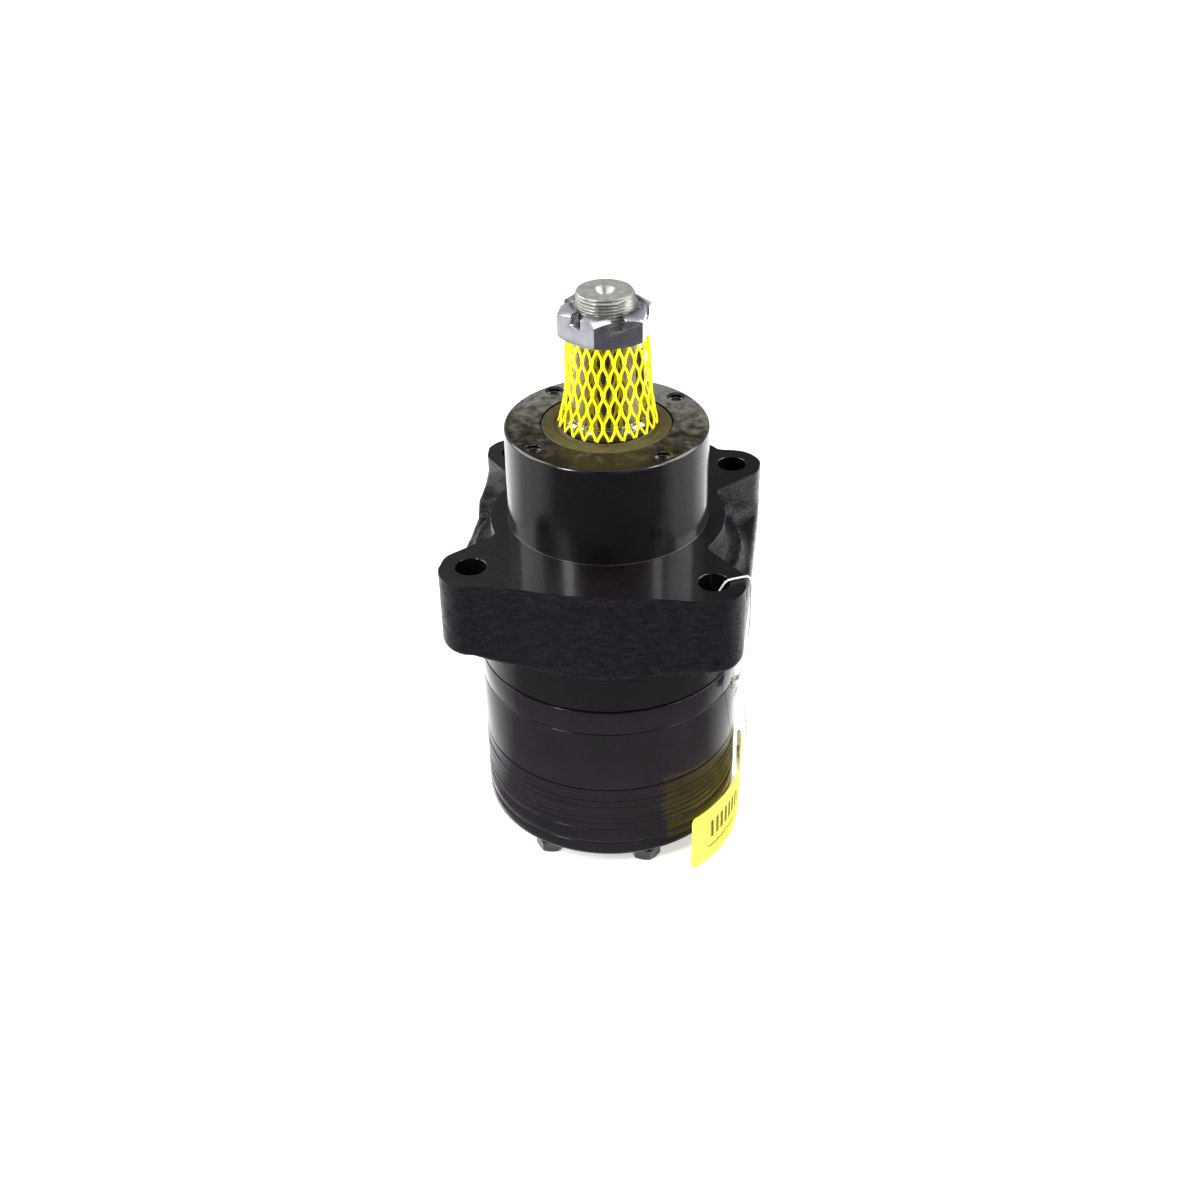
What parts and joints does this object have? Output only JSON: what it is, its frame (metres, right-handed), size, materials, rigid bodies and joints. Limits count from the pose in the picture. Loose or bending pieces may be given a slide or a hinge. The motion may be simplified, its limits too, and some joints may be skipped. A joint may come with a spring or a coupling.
{
  "type": "hydraulic motor",
  "caption": "Low-speed hydraulic wheel motor with a long hub, an eared mounting flange, a tapered keyed shaft and nut, and a round rear stack.",
  "frame": {"origin": "middle of the plane that the rear bolt heads stand on, on the shaft axis", "axes": "+Z along the shaft towards its threaded end; +Y out of the port face; +X towards the tagged side of the flange"},
  "size_m": [0.1344, 0.1404, 0.2669],
  "materials": {
    "black_paint": "gloss black paint",
    "machined_steel": "ground and turned steel",
    "bearing_steel": "polished bearing steel",
    "zinc_plate": "bright zinc plate",
    "bronze": "lapped bronze",
    "seal_rubber": "matte rubber",
    "dust_seal_rubber": "satin rubber",
    "net_plastic": "yellow extruded plastic netting",
    "tag_plastic": "yellow flexible plastic",
    "string": "white twisted cotton"
  },
  "bodies": {
    "housing_body": {"housing": "black_paint", "dirt_seal": "dust_seal_rubber", "shaft_seal": "seal_rubber", "backup_washer": "bearing_steel", "retaining_ring": "bearing_steel", "outer_bearing_shell": "bearing_steel", "inner_bearing_shell": "bearing_steel", "front_thrust_washer": "bearing_steel", "rear_thrust_washer": "bearing_steel", "housing_body_seal": "seal_rubber", "wear_plate_body_seal": "seal_rubber", "manifold_body_seal": "seal_rubber", "cover_body_seal": "seal_rubber", "wear_plate": "black_paint", "stator_ring": "black_paint", "manifold": "black_paint", "commutator_ring": "black_paint", "end_cover": "black_paint", "cover_bolt_1": "black_paint", "cover_bolt_2": "black_paint", "cover_bolt_3": "black_paint", "cover_bolt_4": "black_paint", "cover_bolt_5": "black_paint", "cover_bolt_6": "black_paint", "cover_bolt_7": "black_paint", "tag_tie": "string", "tag": "tag_plastic"},
    "shaft": {"coupling_shaft": "machined_steel", "woodruff_key": "machined_steel", "slotted_nut": "zinc_plate", "shaft_sleeve": "net_plastic"},
    "commutator_body": {"commutator": "bronze", "commutator_seal": "seal_rubber"},
    "rotor_body": {"rotor": "machined_steel"},
    "link_body": {"drive_link": "machined_steel"},
    "outer_cage_body": {"outer_bearing_cage": "bearing_steel"},
    "inner_cage_body": {"inner_bearing_cage": "bearing_steel"},
    "front_thrust_body": {"front_thrust_bearing": "bearing_steel"},
    "rear_thrust_body": {"rear_thrust_bearing": "bearing_steel"},
    "roller_1_body": {"roller_1": "bearing_steel"},
    "roller_2_body": {"roller_2": "bearing_steel"},
    "roller_3_body": {"roller_3": "bearing_steel"},
    "roller_4_body": {"roller_4": "bearing_steel"},
    "roller_5_body": {"roller_5": "bearing_steel"},
    "roller_6_body": {"roller_6": "bearing_steel"},
    "roller_7_body": {"roller_7": "bearing_steel"}
  },
  "joints": [
    {"name": "shaft_spin", "type": "hinge", "parent": "housing_body", "child": "shaft", "pos_m": [0, 0, 0.16], "axis": [0, 0, 1], "continuous": true},
    {"name": "commutator_orbit", "type": "hinge", "parent": "housing_body", "child": "commutator_body", "pos_m": [0, 0, 0.019], "axis": [0, 0, 1], "continuous": true},
    {"name": "rotor_turn", "type": "hinge", "parent": "commutator_body", "child": "rotor_body", "pos_m": [0, -0.0036, 0.063], "axis": [0, 0, 1], "continuous": true},
    {"name": "link_turn", "type": "hinge", "parent": "commutator_body", "child": "link_body", "pos_m": [0, 0, 0.12], "axis": [0, 0.063, 0.998], "continuous": true},
    {"name": "outer_cage_turn", "type": "hinge", "parent": "housing_body", "child": "outer_cage_body", "pos_m": [0, 0, 0.168], "axis": [0, 0, 1], "continuous": true},
    {"name": "inner_cage_turn", "type": "hinge", "parent": "housing_body", "child": "inner_cage_body", "pos_m": [0, 0, 0.121], "axis": [0, 0, 1], "continuous": true},
    {"name": "front_thrust_turn", "type": "hinge", "parent": "housing_body", "child": "front_thrust_body", "pos_m": [0, 0, 0.1477], "axis": [0, 0, 1], "continuous": true},
    {"name": "rear_thrust_turn", "type": "hinge", "parent": "housing_body", "child": "rear_thrust_body", "pos_m": [0, 0, 0.0963], "axis": [0, 0, 1], "continuous": true},
    {"name": "roller_1_turn", "type": "hinge", "parent": "housing_body", "child": "roller_1_body", "pos_m": [-0.01714, 0.03559, 0.063], "axis": [0, 0, 1], "continuous": true},
    {"name": "roller_2_turn", "type": "hinge", "parent": "housing_body", "child": "roller_2_body", "pos_m": [-0.03851, 0.00879, 0.063], "axis": [0, 0, 1], "continuous": true},
    {"name": "roller_3_turn", "type": "hinge", "parent": "housing_body", "child": "roller_3_body", "pos_m": [-0.03088, -0.02463, 0.063], "axis": [0, 0, 1], "continuous": true},
    {"name": "roller_4_turn", "type": "hinge", "parent": "housing_body", "child": "roller_4_body", "pos_m": [0, -0.0395, 0.063], "axis": [0, 0, 1], "continuous": true},
    {"name": "roller_5_turn", "type": "hinge", "parent": "housing_body", "child": "roller_5_body", "pos_m": [0.03088, -0.02463, 0.063], "axis": [0, 0, 1], "continuous": true},
    {"name": "roller_6_turn", "type": "hinge", "parent": "housing_body", "child": "roller_6_body", "pos_m": [0.03851, 0.00879, 0.063], "axis": [0, 0, 1], "continuous": true},
    {"name": "roller_7_turn", "type": "hinge", "parent": "housing_body", "child": "roller_7_body", "pos_m": [0.01714, 0.03559, 0.063], "axis": [0, 0, 1], "continuous": true}
  ],
  "couplings": [
    {"joint": "commutator_orbit", "follows": "shaft_spin", "ratio": -6},
    {"joint": "rotor_turn", "follows": "shaft_spin", "ratio": 7},
    {"joint": "link_turn", "follows": "shaft_spin", "ratio": 7},
    {"joint": "outer_cage_turn", "follows": "shaft_spin", "ratio": 0.466},
    {"joint": "inner_cage_turn", "follows": "shaft_spin", "ratio": 0.465},
    {"joint": "front_thrust_turn", "follows": "shaft_spin", "ratio": 0.5},
    {"joint": "rear_thrust_turn", "follows": "shaft_spin", "ratio": 0.5},
    {"joint": "roller_1_turn", "follows": "shaft_spin", "ratio": -4.817},
    {"joint": "roller_2_turn", "follows": "shaft_spin", "ratio": -4.817},
    {"joint": "roller_3_turn", "follows": "shaft_spin", "ratio": -4.817},
    {"joint": "roller_4_turn", "follows": "shaft_spin", "ratio": -4.817},
    {"joint": "roller_5_turn", "follows": "shaft_spin", "ratio": -4.817},
    {"joint": "roller_6_turn", "follows": "shaft_spin", "ratio": -4.817},
    {"joint": "roller_7_turn", "follows": "shaft_spin", "ratio": -4.817}
  ]
}
